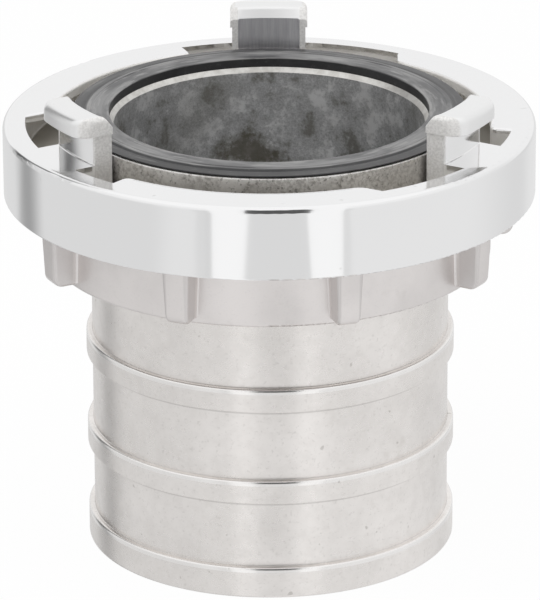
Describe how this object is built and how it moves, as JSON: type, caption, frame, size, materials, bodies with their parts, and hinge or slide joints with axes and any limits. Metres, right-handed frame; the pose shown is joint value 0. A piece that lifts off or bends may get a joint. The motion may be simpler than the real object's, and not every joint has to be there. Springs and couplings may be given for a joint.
{
  "type": "storz coupling",
  "caption": "Aluminium suction half coupling: hooked lug ring that turns on a shank with a banded hose tail and a rubber face seal.",
  "frame": {"origin": "centre of the shank's tail end, on which the coupling stands", "axes": "+Z along the bore, from the tail end to the sealing face; +Y towards one of the three lugs"},
  "size_m": [0.247, 0.247, 0.2274],
  "materials": {
    "turned_aluminium": "turned and polished flange, satin forged skirt",
    "cast_aluminium": "satin turned tail, rough cast bore",
    "seal_rubber": "matte with a faint sheen",
    "spring_steel": "drawn wire"
  },
  "bodies": {
    "shank": {"hose_shank": "cast_aluminium", "face_seal": "seal_rubber", "retaining_ring": "spring_steel"},
    "lug_ring": {"lug_ring": "turned_aluminium"}
  },
  "joints": [
    {"name": "ring_turn", "type": "hinge", "parent": "shank", "child": "lug_ring", "pos_m": [0, 0, 0.165], "axis": [0, 0, 1], "continuous": true}
  ]
}
